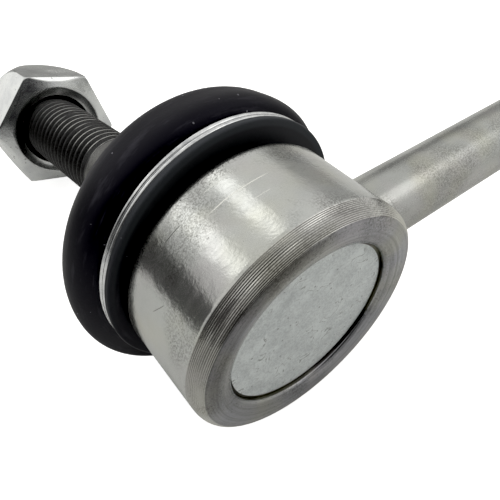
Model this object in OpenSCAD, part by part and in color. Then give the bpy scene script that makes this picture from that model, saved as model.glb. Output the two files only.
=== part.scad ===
// Stabilizer link: a straight rod with a ball joint at each end.
// The link lies on its side as it would on a bench: rod along X, ball studs along +Y and -Y, Z up.
// Each end is drawn in its own frame: origin at the ball centre, Z from the cover towards the stud,
// X towards the middle of the rod, -Y up.

/* [Link] */
// Distance between the two ball centres
link_length = 160; // [120:1:260]
// Diameter of the round rod
rod_d = 8.5; // [7.5:0.1:9]

/* [Housing] */
// Outside diameter of the ball housing
housing_d = 27; // [26:0.1:30]
// Ball centre to the plane of the rolled lip
lip_depth = 8.3; // [8.2:0.1:9]
// Ball centre to the top of the housing's shoulder
shoulder_h = 4; // [3.8:0.1:4.4]
// Radius of the rounded shoulder edge
shoulder_round = 0.9; // [0.5:0.1:1.2]
// Width of the shoulder ledge, from the outside to the neck
shoulder_w = 2.3; // [2:0.1:2.6]
// Height of the neck that carries the boot
neck_h = 4.3; // [4.2:0.1:5]
// How far the flange stands out over the neck
flange_out = 0.8; // [0.5:0.1:1]
// Thickness of that flange
flange_t = 0.7; // [0.5:0.1:1]

/* [Rolled lip] */
// Diameter of the opening that shows the cover
lip_opening_d = 19.4; // [18:0.1:20]
// Thickness of the lip over the cover
lip_t = 0.5; // [0.4:0.05:0.7]
// How far the rolled face stands proud of the lip's edge
lip_crown = 0.38; // [0.2:0.02:0.5]
// Width of the bevel at the lip's edge
lip_bevel = 0.8; // [0.5:0.1:1]
// Width of the rounded corner, across the end
roll_w = 1.5; // [1.2:0.1:1.8]
// Height of the rounded corner, along the housing
roll_h = 1.95; // [1.6:0.05:2.2]
// How full that corner is: 2 is elliptical, more is squarer
roll_full = 2.5; // [2:0.1:3.4]
// Number of turned ridges on the corner
ridges = 11; // [5:1:12]
// Depth of those ridges
ridge_depth = 0.05; // [0.02:0.01:0.08]

/* [Cover] */
// Thickness of the cover disc
cover_t = 1.6; // [1.2:0.1:1.8]
// How far the cover reaches under the lip
cover_grip = 1.7; // [1.2:0.1:1.9]

/* [Ball stud] */
// Diameter of the ball
ball_d = 14; // [13.4:0.1:14.4]
// Diameter of the stud's neck under the boot
stud_neck_d = 8.4; // [7.6:0.1:8.8]
// Diameter of the shank and of its thread
thread_d = 10; // [9.6:0.1:10.4]
// Ball centre to the groove that holds the boot
groove_at = 13.2; // [12.8:0.1:14]
// Length of that groove
groove_l = 4.2; // [4:0.1:4.6]
// Depth of that groove
groove_depth = 0.6; // [0.4:0.1:0.8]
// Diameter of the collar that the bracket sits against
collar_d = 14; // [13:0.5:16]
// Thickness of the collar
collar_t = 3; // [2:0.1:4]
// How far the thread runs past the nut
thread_past_nut = 1; // [0.8:0.1:3]
// Diameter of the plain lead-in point
point_d = 7.8; // [6:0.1:8]
// Length of the plain lead-in point
point_l = 2.5; // [2:0.1:5]
// Largest tilt of the stud from the housing's axis, in degrees
tilt_max = 20; // [16:1:22]

/* [Pose in the photograph] */
// Tilt of the stud as the link lies, in degrees
rest_tilt = 8.4; // [0:0.1:10]
// Direction of that tilt around the housing, in degrees from the rod
rest_turn = 113.3; // [90:0.1:135]
// How crooked the boot sits on its neck, in degrees
boot_lean = 3; // [0:0.1:3.2]
// Share of the stud's tilt that the boot's bulge takes up
bulge_follow = 0.75; // [0:0.05:0.9]

/* [Ball seat] */
// Wall of the plastic seat at the ball's equator
seat_wall = 2.6; // [2:0.1:2.8]

/* [Dust boot] */
// Thickness of the bead on the housing's neck, inside to outside
bead_w = 2.85; // [2.6:0.05:3.2]
// Shoulder to the bottom of the boot's rim
rim_gap = 1.1; // [1:0.05:1.3]
// Height of the rim below the ring's groove
rim_h = 0.75; // [0.5:0.05:0.9]
// How far the rim stands out past the groove
rim_out = 0.7; // [0.4:0.05:0.9]
// How far the bulge stands out past the groove
bulge_out = 2.5; // [2:0.1:3]
// Height of the bulge's widest line over the groove
bulge_low = 2.3; // [2:0.1:3]
// Height of the bulge's crown over its widest line
bulge_high = 5.7; // [5:0.1:6]
// Wall thickness of the rubber
boot_wall = 1.4; // [1.1:0.1:1.6]
// Outside diameter of the boot's neck on the stud
boot_neck_d = 12.4; // [11.6:0.1:12.8]

/* [Rings] */
// Wire diameter of the ring that clamps the boot to the housing
clamp_wire = 0.6; // [0.4:0.05:0.65]
// Number of turns in that ring
clamp_turns = 2; // [1:1:2]
// Wire diameter of the ring around the boot's neck
neck_wire = 0.9; // [0.6:0.1:1.1]

/* [Nut] */
// Width of the nut across its flats
nut_flats = 17; // [15.5:0.1:18]
// Height of the nut with its collar
nut_h = 12.4; // [11.8:0.1:13]
// Height of the nut's corners below the dome
nut_corner_h = 1.8; // [1.5:0.1:3]
// Height of the dome between the corners and the collar
nut_dome_h = 8.5; // [7.5:0.1:8.8]
// Width of the bevel along the edges of the near face
nut_bevel_w = 0.8; // [0.3:0.1:1]
// Height of that bevel
nut_bevel_h = 0.4; // [0.2:0.1:0.6]
// Ball centre to the nut's near face
nut_at = 50; // [42:0.1:52]
// Turn of the nut's corners about the stud, in degrees
nut_turn = 17; // [0:1:59]
// Diameter of the countersink at the near face
sink_d = 14; // [12:0.1:15]
// Diameter of the relief behind the countersink
relief_d = 11.3; // [11:0.1:12]
// Outside diameter of the nylon insert
insert_d = 13.4; // [12.8:0.1:13.8]
// Height of the nylon insert
insert_h = 2.4; // [2:0.1:2.6]

/* [Clearances] */
// Running clearance around the ball and on the thread
run_fit = 0.05; // [0.02:0.01:0.1]
// Clearance where fixed pieces seat on each other
seat_fit = 0.05; // [0.02:0.01:0.1]
// Clearance between the rubber and the metal
soft_fit = 0.35; // [0.3:0.05:0.5]
// Clearance of the tilted stud inside the housing's mouth
swing_gap = 0.8; // [0.5:0.1:1]

/* [Hidden] */
$fn = 96;

zinc = "#b9b8b0";
zinc_bright = "#c9cbcc";
cover_grey = "#a9abaa";
phosphate = "#3f4042";
rubber_black = "#1b1b1f";
nylon_white = "#e6e4dc";
seat_white = "#dcdcd6";

housing_r = housing_d / 2;
ball_r = ball_d / 2;
stud_neck_r = stud_neck_d / 2;
thread_r = thread_d / 2;

// The cover lies under the lip, and the seat stands on the cover
cover_r = lip_opening_d / 2 + cover_grip;
cover_out = lip_depth - lip_t - seat_fit;
cover_in = cover_out - cover_t;
bore_r = ball_r + run_fit + seat_wall + seat_fit;

// The seat stops below the stud's neck at full tilt, and the ball's flat stays clear of the cover
neck_polar = asin(stud_neck_r / ball_r);
seat_top = ball_r * cos(neck_polar + tilt_max + 4);
seat_bottom = -cover_in + seat_fit;
flat_polar = tilt_max + acos(min(1, (cover_in - 0.3) / ball_r));
flat_z = -ball_r * cos(flat_polar);
neck_start = ball_r * cos(neck_polar);

// The housing's mouth clears the stud's neck at full tilt
neck_r = housing_r - shoulder_w;
flange_r = neck_r + flange_out;
housing_top = shoulder_h + neck_h;
retain_z = seat_top + seat_fit;
function mouth_r(z) = z * tan(tilt_max) + stud_neck_r / cos(tilt_max) + swing_gap;

// Stations along the stud
groove_r = thread_r - groove_depth;
groove_end = groove_at + groove_l;
collar_end = groove_end + collar_t;
nut_end = nut_at + nut_h;
thread_end = nut_end + thread_past_nut;
point_r = point_d / 2;
point_start = thread_end + thread_r - point_r;
stud_tip = point_start + point_l + 0.5;

// The boot's radii build outwards from the housing's neck
boot_bore_r = neck_r + soft_fit;
boot_groove_r = boot_bore_r + bead_w;
rim_bottom = shoulder_h + rim_gap;
ring_bottom = rim_bottom + rim_h;
ring_h = clamp_turns * clamp_wire;
ring_top = ring_bottom + ring_h;
bulge_z = ring_top + bulge_low;
bulge_r = boot_groove_r + bulge_out;
crown_r = thread_r + bulge_out;
crown_z = bulge_z + bulge_high;
boot_neck_r = boot_neck_d / 2;
boot_hole_r = groove_r + soft_fit;
boot_top = groove_end - soft_fit;
lean_z = (shoulder_h + housing_top) / 2;
clamp_r = boot_groove_r + seat_fit + clamp_wire / 2;
neck_ring_r = boot_neck_r + run_fit + neck_wire / 2;
neck_ring_z = boot_top - neck_wire;

nut_corner_r = nut_flats / 2 / cos(30);

// Turning a point about Z, and tilting it towards a direction around Z
function turned(p, a) = [p.x * cos(a) - p.y * sin(a), p.x * sin(a) + p.y * cos(a), p.z];
function swung(p, a) = [p.x * cos(a) + p.z * sin(a), p.y, p.z * cos(a) - p.x * sin(a)];
function tilted(p, tilt, turn) = turned(swung(turned(p, -turn), tilt), turn);

// Points along part of an ellipse
function arc(c, rx, ry, from, to, n) = [
  for (i = [0:n])
    let (a = from + (to - from) * i / n)
    [c.x + rx * cos(a), c.y + ry * sin(a)]
];

// Half section of the boot as one closed loop: rim, groove, bulge, neck, then back down inside
boot_loop = concat(
  [[boot_bore_r, rim_bottom], [boot_groove_r + rim_out - 0.25, rim_bottom]],
  [[boot_groove_r + rim_out - 0.06, rim_bottom + 0.06], [boot_groove_r + rim_out, rim_bottom + 0.2]],
  [[boot_groove_r + rim_out - 0.05, ring_bottom - 0.12], [boot_groove_r + rim_out - 0.15, ring_bottom]],
  [[boot_groove_r, ring_bottom], [boot_groove_r, ring_top]],
  arc([boot_groove_r, bulge_z], bulge_out, bulge_low - 0.05, -84, 0, 5),
  arc([crown_r, bulge_z], bulge_r - crown_r, bulge_high, 10, 84, 9),
  arc([boot_neck_r + 0.9, crown_z + 0.9], 0.9, 0.9, 270, 180, 3),
  [[boot_neck_r, boot_top - 0.3], [boot_neck_r - 0.3, boot_top], [boot_hole_r, boot_top]],
  [[boot_hole_r, crown_z - boot_wall]],
  arc([crown_r, bulge_z], bulge_r - crown_r - boot_wall, bulge_high - boot_wall, 86, 0, 9),
  [[flange_r + 2 * soft_fit + 0.9, ring_top + 0.9], [flange_r + 2 * soft_fit, ring_top + 0.4]],
  [[flange_r + 2 * soft_fit, ring_top - 0.2], [boot_bore_r, ring_top - 0.2]]
);

// The boot's skirt sits a little crooked on the housing, its bulge follows the stud in part, its neck in full
function smooth(t) = let (u = max(0, min(1, t))) u * u * (3 - 2 * u);
function follow_bulge(q) = bulge_follow * smooth((q.y - ring_top) / bulge_low);
function follow_neck(q) = q.y < bulge_z ? 0 : smooth((bulge_r - 1 - q.x) / (bulge_r - boot_neck_r - 1.5));
function follow(q) = follow_bulge(q) + (1 - bulge_follow) * follow_neck(q);
function on_skirt(p) = tilted(p - [0, 0, lean_z], boot_lean, 180) + [0, 0, lean_z];
function on_boot(q, a) =
  let (p = [q.x * cos(a), q.x * sin(a), q.y], w = follow(q))
  (1 - w) * on_skirt(p) + w * tilted(p, rest_tilt, rest_turn);
boot_sides = 56;
boot_points = [for (i = [0:boot_sides - 1]) for (q = boot_loop) on_boot(q, 360 * i / boot_sides)];

// The link rests on its boots or its nuts, whichever reach lower
nut_points = [
  for (i = [0:5]) for (h = [0.7, nut_corner_h])
    let (a = nut_turn + 60 * i)
    tilted([nut_corner_r * cos(a), nut_corner_r * sin(a), nut_at + h], rest_tilt, rest_turn)
];
rest_h = max([for (p = concat(boot_points, nut_points)) p.y]);

// The two ends, each half a turn about Z from the other
module at_end(side) {
  rotate([0, 0, side == "b" ? 180 : 0])
    translate([-link_length / 2, 0, rest_h])
      rotate([-90, 0, 0])
        children();
}

// Along the tilted stud of an end
module on_stud() {
  rotate([0, 0, rest_turn])
    rotate([0, rest_tilt, 0])
      rotate([0, 0, -rest_turn])
        children();
}

// Round rod, its ends saddled to the housings they are welded to
module link_rod() {
  color(zinc)
    difference() {
      translate([-link_length / 2, 0, rest_h])
        rotate([0, 90, 0])
          cylinder(r = rod_d / 2, h = link_length);
      for (x = [-1, 1])
        translate([x * link_length / 2, 0, rest_h])
          rotate([90, 0, 0])
            cylinder(r = housing_r + seat_fit / 2, h = 4 * lip_depth, center = true);
    }
}

// Rolled corner of the lip, and the turned ridges along it
function full(a) = pow(pow(cos(a), roll_full) + pow(abs(sin(a)), roll_full), -1 / roll_full);
function roll_at(a, d) = [
  housing_r - roll_w + (roll_w * full(a) - d) * cos(a),
  roll_h - lip_depth - lip_crown + (roll_h * full(a) - d) * sin(a)
];
function ridge_at(t) = ridge_depth * (0.5 - 0.5 * cos(360 * ridges * t));
corner_steps = 4 * ridges;
corner = [for (i = [0:corner_steps]) roll_at(-62 * i / corner_steps, ridge_at(i / corner_steps))];
lip_round = [for (a = [-66:-8:-90]) roll_at(a, 0)];

module housing() {
  color(zinc)
    rotate_extrude()
      polygon(concat(
        [[lip_opening_d / 2, -lip_depth], [lip_opening_d / 2, -lip_depth + lip_t]],
        [[cover_r + seat_fit, -lip_depth + lip_t], [cover_r + seat_fit, -cover_in + seat_fit]],
        [[bore_r, -cover_in + seat_fit], [bore_r, retain_z]],
        [[mouth_r(retain_z), retain_z], [mouth_r(housing_top), housing_top]],
        [[flange_r - 0.2, housing_top], [flange_r, housing_top - 0.2], [flange_r, housing_top - flange_t]],
        [[neck_r, housing_top - flange_t], [neck_r, shoulder_h]],
        arc([housing_r - shoulder_round, shoulder_h - shoulder_round], shoulder_round, shoulder_round, 90, 0, 8),
        corner,
        lip_round,
        [[lip_opening_d / 2 + lip_bevel, -lip_depth - lip_crown]]
      ));
}

module cover() {
  edge = 0.25;
  color(cover_grey)
    rotate_extrude()
      polygon([
        [0, -cover_out], [cover_r - edge, -cover_out], [cover_r, -cover_out + edge],
        [cover_r, -cover_in], [0, -cover_in]
      ]);
}

// Plastic cup around the ball
module ball_seat() {
  color(seat_white)
    difference() {
      translate([0, 0, seat_bottom])
        cylinder(r = bore_r - seat_fit, h = seat_top - seat_bottom);
      sphere(r = ball_r + run_fit);
    }
}

module ball_stud() {
  color(phosphate)
    on_stud() {
      intersection() {
        sphere(r = ball_r);
        translate([0, 0, flat_z])
          cylinder(r = ball_d, h = ball_d);
      }
      rotate_extrude()
        polygon([
          [0, 0], [stud_neck_r, 0], [stud_neck_r, groove_at - 3], [thread_r, groove_at - 1.4],
          [thread_r, groove_at], [groove_r, groove_at], [groove_r, groove_end],
          [collar_d / 2 - 0.3, groove_end], [collar_d / 2, groove_end + 0.3],
          [collar_d / 2, collar_end - 0.3], [collar_d / 2 - 0.3, collar_end],
          [thread_r, collar_end], [thread_r, thread_end], [point_r, point_start],
          [point_r, stud_tip - 0.5], [point_r - 0.5, stud_tip], [0, stud_tip]
        ]);
    }
}

// Rubber bellows, swept ring by ring from the housing's neck to the stud
module dust_boot() {
  n = len(boot_loop);
  function corner_of(i, j) = (i % boot_sides) * n + j % n;
  color(rubber_black)
    polyhedron(
      points = boot_points,
      faces = [
        for (i = [0:boot_sides - 1]) for (j = [0:n - 1]) for (half = [0, 1])
          half == 0
            ? [corner_of(i, j), corner_of(i, j + 1), corner_of(i + 1, j + 1)]
            : [corner_of(i, j), corner_of(i + 1, j + 1), corner_of(i + 1, j)]
      ],
      convexity = 6
    );
}

// Wire wound round the boot in the groove over its rim
module clamp_ring() {
  color(zinc_bright)
    translate([0, 0, lean_z])
      rotate([0, -boot_lean, 0])
        translate([0, 0, -lean_z])
          rotate_extrude()
            for (i = [0:clamp_turns - 1])
              translate([clamp_r, ring_bottom + clamp_wire * (i + 0.5) - (i - 0.5) * 0.04])
                circle(d = clamp_wire, $fn = 24);
}

module neck_ring() {
  color(zinc_bright)
    on_stud()
      rotate_extrude()
        translate([neck_ring_r, neck_ring_z])
          circle(d = neck_wire, $fn = 24);
}

insert_at = nut_h - insert_h - 0.6;

module nut_insert() {
  color(nylon_white)
    on_stud()
      translate([0, 0, nut_at + insert_at])
        difference() {
          cylinder(d = insert_d, h = insert_h);
          translate([0, 0, -1])
            cylinder(r = thread_r + run_fit, h = insert_h + 2);
        }
}

// Lock nut: hexagon below, domed collar above, countersunk on the side towards the boot
module nut() {
  collar_r = insert_d / 2 + 1.4;
  dome_c = [collar_r - 0.9, nut_corner_h];
  dome_r = nut_corner_r + 0.1 - dome_c.x;
  color(zinc_bright)
    on_stud()
      translate([0, 0, nut_at])
        difference() {
          intersection() {
            rotate([0, 0, nut_turn])
              cylinder(r = nut_corner_r, h = nut_h, $fn = 6);
            rotate_extrude()
              polygon(concat(
                [[0, 0], [nut_corner_r - 1, 0], [nut_corner_r + 0.1, 0.75]],
                arc(dome_c, dome_r, nut_dome_h, 0, acos(0.9 / dome_r), 10),
                arc([collar_r - 0.9, nut_h - 0.9], 0.9, 0.9, 0, 90, 6),
                [[0, nut_h]]
              ));
          }
          for (i = [0:5])
            rotate([0, 0, nut_turn + 30 + 60 * i])
              translate([nut_flats / 2 - nut_bevel_w, 0, 0])
                rotate([0, -atan(nut_bevel_h / nut_bevel_w), 0])
                  translate([0, -nut_flats / 2, -5])
                    cube([5, nut_flats, 5]);
          rotate_extrude()
            polygon([
              [0, -1], [sink_d / 2, -1], [sink_d / 2, 0], [relief_d / 2, 0.5], [relief_d / 2, 2.2],
              [thread_r + run_fit, 2.8], [thread_r + run_fit, insert_at - seat_fit],
              [insert_d / 2 + run_fit, insert_at - seat_fit],
              [insert_d / 2 + run_fit, insert_at + insert_h + seat_fit],
              [thread_r + 0.5, insert_at + insert_h + seat_fit], [thread_r + 0.5, nut_h + 1], [0, nut_h + 1]
            ]);
        }
}

link_rod();
at_end("a") housing();  // housing_a
at_end("a") cover();  // cover_a
at_end("a") ball_seat();  // ball_seat_a
at_end("a") ball_stud();  // ball_stud_a
at_end("a") dust_boot();  // dust_boot_a
at_end("a") clamp_ring();  // clamp_ring_a
at_end("a") neck_ring();  // neck_ring_a
at_end("a") nut_insert();  // nut_insert_a
at_end("a") nut();  // nut_a
at_end("b") housing();  // housing_b
at_end("b") cover();  // cover_b
at_end("b") ball_seat();  // ball_seat_b
at_end("b") ball_stud();  // ball_stud_b
at_end("b") dust_boot();  // dust_boot_b
at_end("b") clamp_ring();  // clamp_ring_b
at_end("b") neck_ring();  // neck_ring_b
at_end("b") nut_insert();  // nut_insert_b
at_end("b") nut();  // nut_b
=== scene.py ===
import math
import bpy
import numpy as np
from mathutils import Matrix, Vector


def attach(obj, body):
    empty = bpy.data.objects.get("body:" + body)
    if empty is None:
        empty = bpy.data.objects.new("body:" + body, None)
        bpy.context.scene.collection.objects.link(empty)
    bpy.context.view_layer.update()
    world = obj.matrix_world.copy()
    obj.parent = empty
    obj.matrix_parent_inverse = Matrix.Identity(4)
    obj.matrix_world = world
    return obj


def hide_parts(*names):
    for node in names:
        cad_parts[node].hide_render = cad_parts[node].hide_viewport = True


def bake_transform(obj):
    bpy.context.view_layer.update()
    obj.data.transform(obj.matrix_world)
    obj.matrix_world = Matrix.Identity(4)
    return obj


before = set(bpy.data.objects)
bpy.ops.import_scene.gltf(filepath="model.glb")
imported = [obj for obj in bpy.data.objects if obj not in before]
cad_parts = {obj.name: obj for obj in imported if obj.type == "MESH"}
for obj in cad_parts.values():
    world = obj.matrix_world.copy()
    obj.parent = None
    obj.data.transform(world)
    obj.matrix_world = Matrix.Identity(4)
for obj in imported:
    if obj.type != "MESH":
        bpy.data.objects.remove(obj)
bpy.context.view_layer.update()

scene = bpy.context.scene
print("frame loaded:", len(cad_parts), "solids")

# One end of the link, in mm and degrees: origin at the ball, Z from the cover to the stud, X along the rod, -Y up
linkEnd = {"halfLength": 80.0, "restHeight": 17.7262, "tilt": 8.4, "turn": 113.3, "lean": 3.0, "leanAt": 6.15}
mmPerMetre = 1000.0


def toRow(points, side):  # end frame in mm to the row frame in metres
    p = np.asarray(points, float)
    sign = 1 if side == "a" else -1
    row = (sign * (p[:, 0] - linkEnd["halfLength"]), sign * p[:, 2], linkEnd["restHeight"] - p[:, 1])
    return np.column_stack(row) / mmPerMetre


def spun(points, degrees):  # about the end's Z
    c, s = math.cos(math.radians(degrees)), math.sin(math.radians(degrees))
    return points @ np.array([[c, s, 0], [-s, c, 0], [0, 0, 1]])


def tilted(points, tilt, turn):  # leaning by tilt towards the direction turn
    c, s = math.cos(math.radians(tilt)), math.sin(math.radians(tilt))
    return spun(spun(points, -turn) @ np.array([[c, 0, -s], [0, 1, 0], [s, 0, c]]), turn)


def onStud(points):
    return tilted(np.asarray(points, float), linkEnd["tilt"], linkEnd["turn"])


def onSkirt(points):  # the boot's foot sits a little crooked on the housing
    lift = np.array([0, 0, linkEnd["leanAt"]])
    return tilted(np.asarray(points, float) - lift, linkEnd["lean"], 180) + lift


def facings(steps):  # degrees round the end's Z, from the underside
    return 90 + np.arange(steps) * 360 / steps


def arc(cx, cy, rx, ry, start, stop, count):
    angles = [math.radians(a) for a in np.linspace(start, stop, count)]
    return [(cx + rx * math.cos(a), cy + ry * math.sin(a)) for a in angles]


def softMin(a, b, rounding):  # the smaller of two, with a rounded change from one to the other
    h = np.clip(0.5 + 0.5 * (b - a) / rounding, 0, 1)
    return b * (1 - h) + a * h - rounding * h * (1 - h)


def smoothStep(t):
    u = np.clip(t, 0, 1)
    return u * u * (3 - 2 * u)


def toLinear(code):  # sRGB hex to Blender's linear colour
    parts = [int(code[i:i + 2], 16) / 255 for i in (1, 3, 5)]
    return tuple(c / 12.92 if c <= 0.04045 else ((c + 0.055) / 1.055) ** 2.4 for c in parts) + (1.0,)


def addNode(tree, kind, inputs=None, stops=(), **settings):
    # a node or socket given as an input is linked, anything else is set; stops are a ramp's positions and tones
    node = tree.nodes.new(kind if kind.startswith(("Geometry", "NodeGroup")) else "ShaderNode" + kind)
    for name, value in settings.items():
        setattr(node, name, value)
    for i, (position, code) in enumerate(stops):
        stop = node.color_ramp.elements[i]
        stop.position, stop.color = position, toLinear(code)
    for key, value in (inputs or {}).items():
        if isinstance(value, bpy.types.Node):
            value = next(output for output in value.outputs if output.enabled)
        if isinstance(value, bpy.types.NodeSocket):
            tree.links.new(value, node.inputs[key])
        else:
            node.inputs[key].default_value = value
    return node


smooth = {"interpolation_type": "SMOOTHSTEP"}
tinted = {"data_type": "RGBA"}  # a Mix node then takes its colours at 6 and 7; plain numbers go to 2 and 3


def addObject(name, data):
    thing = bpy.data.objects.new(name, data)
    scene.collection.objects.link(thing)
    return thing


def addSheet(name, corners, material):
    mesh = bpy.data.meshes.new(name)
    mesh.from_pydata(corners, [], [(0, 1, 2, 3)])
    mesh.materials.append(material)
    return addObject(name, mesh)


def finishMesh(name, mesh, body, material, sharp=32):
    mesh.polygons.foreach_set("use_smooth", [True] * len(mesh.polygons))
    mesh.set_sharp_from_angle(angle=math.radians(sharp))
    if not mesh.materials:
        mesh.materials.append(material)
    piece = addObject(name, mesh)
    if body:
        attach(piece, body)
    return piece


def noteOn(mesh, name, values):  # a number on each point, for the materials
    mesh.attributes.new(name, "FLOAT", "POINT").data.foreach_set("value", values.ravel())


def sweep(name, grid, closedLoop, wrap=None):
    # grid[i][j]: ring i round the piece, point j along its section, in metres; wrap holds the UV in mm
    rings, count = grid.shape[:2]
    faces, uvs = [], []
    for i in range(rings):
        k = (i + 1) % rings
        for j in range(count if closedLoop else count - 1):
            m = (j + 1) % count
            faces.append((i * count + j, i * count + m, k * count + m, k * count + j))
            if wrap is not None:
                (a, b), (c, d) = wrap[0][i:i + 2], wrap[1][j:j + 2]
                uvs += [a, c, a, d, b, d, b, c]
    mesh = bpy.data.meshes.new(name)
    mesh.from_pydata(grid.reshape(-1, 3).tolist(), [], faces)
    if wrap is not None:
        mesh.uv_layers.new(name="wrap").data.foreach_set("uv", np.array(uvs, float))
    mesh.validate()
    mesh.update()
    return mesh


def turnedMesh(name, profile, steps, side, place=None, closedLoop=True, zero=0):
    # a section of (radius, height) points turned about the end's Z, with UV in mm from point zero
    section = np.array(profile, float)
    angles = np.radians(facings(steps))
    grid = np.empty((steps, len(section), 3))
    grid[:, :, 0] = np.outer(np.cos(angles), section[:, 0])
    grid[:, :, 1] = np.outer(np.sin(angles), section[:, 0])
    grid[:, :, 2] = section[:, 1]
    flat = grid.reshape(-1, 3)
    flat = toRow(place(flat) if place else flat, side)
    looped = np.vstack((section, section[:1]))
    along = np.concatenate(([0], np.cumsum(np.linalg.norm(np.diff(looped, axis=0), axis=1))))
    around = np.linspace(0, 2 * math.pi * section[:, 0].max(), steps + 1)
    return sweep(name, flat.reshape(grid.shape), closedLoop, (around, along - along[zero]))


def startMaterial(name):  # with its nodes, its Object coordinates in metres and its UV in mm
    material = bpy.data.materials.new(name)
    material.use_nodes = True
    tree = material.node_tree
    tree.nodes.clear()
    place = addNode(tree, "TexCoord")
    return material, tree, place.outputs["Object"], place.outputs["UV"]


def endMaterial(tree, inputs):
    addNode(tree, "OutputMaterial", {"Surface": addNode(tree, "BsdfPrincipled", inputs)})


# Camera: the photograph looks down on the joint from close by
camera = {"position": (-0.10213, -0.02701, 0.05812), "right": (0.7918, -0.6107, -0.0001), "sensor": 36,
          "forward": (0.4219, 0.5471, -0.7230), "focalPixels": 508.13, "imagePixels": 500, "clip": (0.001, 20)}
lens = bpy.data.cameras.new("photoCamera")
lens.sensor_width = camera["sensor"]
lens.lens = camera["sensor"] * camera["focalPixels"] / camera["imagePixels"]
lens.clip_start, lens.clip_end = camera["clip"]
eye = addObject("photoCamera", lens)
ahead = Vector(camera["forward"]).normalized()
above = Vector(camera["right"]).cross(ahead).normalized()
turnMatrix = Matrix((ahead.cross(above), above, -ahead)).transposed().to_4x4()
turnMatrix.translation = Vector(camera["position"])
eye.matrix_world = turnMatrix
scene.camera = eye

# Studio: a pale tent, with brighter and darker soft cards that the metal mirrors, and dark flags by the horizon
studio = {
    "zenith": 0.84, "horizon": 0.72, "darkest": 0.05, "tentTone": "#fffefb", "blackLevel": 0.008,
    "floorTone": "#eeeeec", "floorMirrored": "#e4e4e2", "floorSize": 3.0, "floorLevel": -0.0002, "floorLift": 0.8,
    "shades": [  # centre, full and soft radius, tone
        ((-0.105, -0.070), 0.022, 0.030, "#a3a3a1"),
        ((-0.083, -0.012), 0.003, 0.014, "#d2d2d0"),
        ((-0.068, -0.055), 0.010, 0.020, "#858583"),
    ],
    "cards": [  # towards, half width and soft edge in degrees, gain
        ((0.09, 0.62, 0.78), 3, 6, 1.0),
        ((-0.47, 0.62, 0.63), 3.5, 7, 1.0),
        ((0.67, -0.32, 0.67), 5, 10, 0.6),
        ((-0.70, 0.65, 0.30), 3, 9, -0.28),
        ((0.80, 0.57, 0.20), 7, 12, -0.3),
        ((0.66, 0.72, 0.20), 5, 9, -0.15),
        ((-0.50, -0.78, 0.34), 20, 24, -0.75),
        ((-0.95, -0.20, 0.20), 12, 18, -0.6),
        ((0.05, -0.92, 0.38), 10, 18, -0.5),
        ((0.52, -0.58, 0.63), 6, 8, 0.8),
        ((-0.30, 0.94, 0.15), 8, 8, 0.3),
    ],
    "flagsRound": -0.08,
    "flags": [  # name, direction, distance, width, height, tone
        ("leftFlag", (-0.77, 0.64), 0.18, 0.13, 0.08, "#646464"),
        ("frontFlag", (-0.68, -0.73), 0.15, 0.16, 0.05, "#5c5c5c"),
        ("backFlag", (0.24, 0.97), 0.3, 0.15, 0.07, "#b6b6b6"),
    ],
}
world = bpy.data.worlds.new("studioTent")
scene.world = world
world.use_nodes = True
tent = world.node_tree
tent.nodes.clear()
lookAt = addNode(tent, "TexCoord").outputs["Generated"]
height = addNode(tent, "SeparateXYZ", {0: lookAt}).outputs["Z"]
glow = addNode(tent, "MapRange", {
    "Value": height, "From Max": 0.8, "To Min": studio["horizon"], "To Max": studio["zenith"]})
for towards, half, soft, gain in studio["cards"]:
    facing = addNode(tent, "VectorMath", {0: lookAt, 1: Vector(towards).normalized()}, operation="DOT_PRODUCT")
    lit = addNode(tent, "MapRange", {
        "Value": facing, "From Min": math.cos(math.radians(half + soft)), "From Max": math.cos(math.radians(half)),
        "To Max": gain}, **smooth)
    glow = addNode(tent, "Math", {0: glow, 1: lit}, operation="ADD")
glow = addNode(tent, "Math", {0: glow, 1: studio["darkest"]}, operation="MAXIMUM")
plain = addNode(tent, "LightPath").outputs["Is Camera Ray"]  # the cards are mirrored, not seen
glow = addNode(tent, "Mix", {"Factor": plain, 2: glow, 3: 1.0})
backdrop = addNode(tent, "Background", {"Color": toLinear(studio["tentTone"]), "Strength": glow})
addNode(tent, "OutputWorld", {"Surface": backdrop})

softbox = {"size": 0.5, "energy": 1.2, "at": (-0.25, 0.35, 0.75), "aim": (-0.08, 0, 0.02)}
key = bpy.data.lights.new("topSoftbox", "AREA")
key.shape = "RECTANGLE"
key.size = key.size_y = softbox["size"]
key.energy = softbox["energy"]
keyLight = addObject("topSoftbox", key)
keyLight.location = softbox["at"]
keyLight.visible_glossy = False
keyLight.rotation_mode = "QUATERNION"
keyLight.rotation_quaternion = (Vector(softbox["aim"]) - keyLight.location).to_track_quat("-Z", "Y")

paper, sheet, ground = startMaterial("paperSweep")[:3]
seen = addNode(sheet, "LightPath").outputs["Is Camera Ray"]
under = toLinear(studio["floorMirrored"])
for at, full, soft, tone in studio["shades"]:
    apart = addNode(sheet, "VectorMath", {0: ground, 1: (*at, studio["floorLevel"])}, operation="DISTANCE")
    shaded = addNode(sheet, "MapRange", {"Value": apart, "From Min": full + soft, "From Max": full}, **smooth)
    under = addNode(sheet, "Mix", {"Factor": shaded, 6: under, 7: toLinear(tone)}, **tinted)
sheetTone = addNode(sheet, "Mix", {"Factor": seen, 6: under, 7: toLinear(studio["floorTone"])}, **tinted)
matte = addNode(sheet, "BsdfDiffuse", {"Color": sheetTone})
lift = addNode(sheet, "Math", {0: seen, 1: studio["floorLift"]}, operation="MULTIPLY")
shine = addNode(sheet, "Emission", {"Color": toLinear("#ffffff"), "Strength": lift})
addNode(sheet, "OutputMaterial", {"Surface": addNode(sheet, "AddShader", {0: matte, 1: shine})})
reach, level = studio["floorSize"], studio["floorLevel"]
corners = [(-reach, -reach, level), (reach, -reach, level), (reach, reach, level), (-reach, reach, level)]
floor = addSheet("paleFloor", corners, paper)

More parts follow.
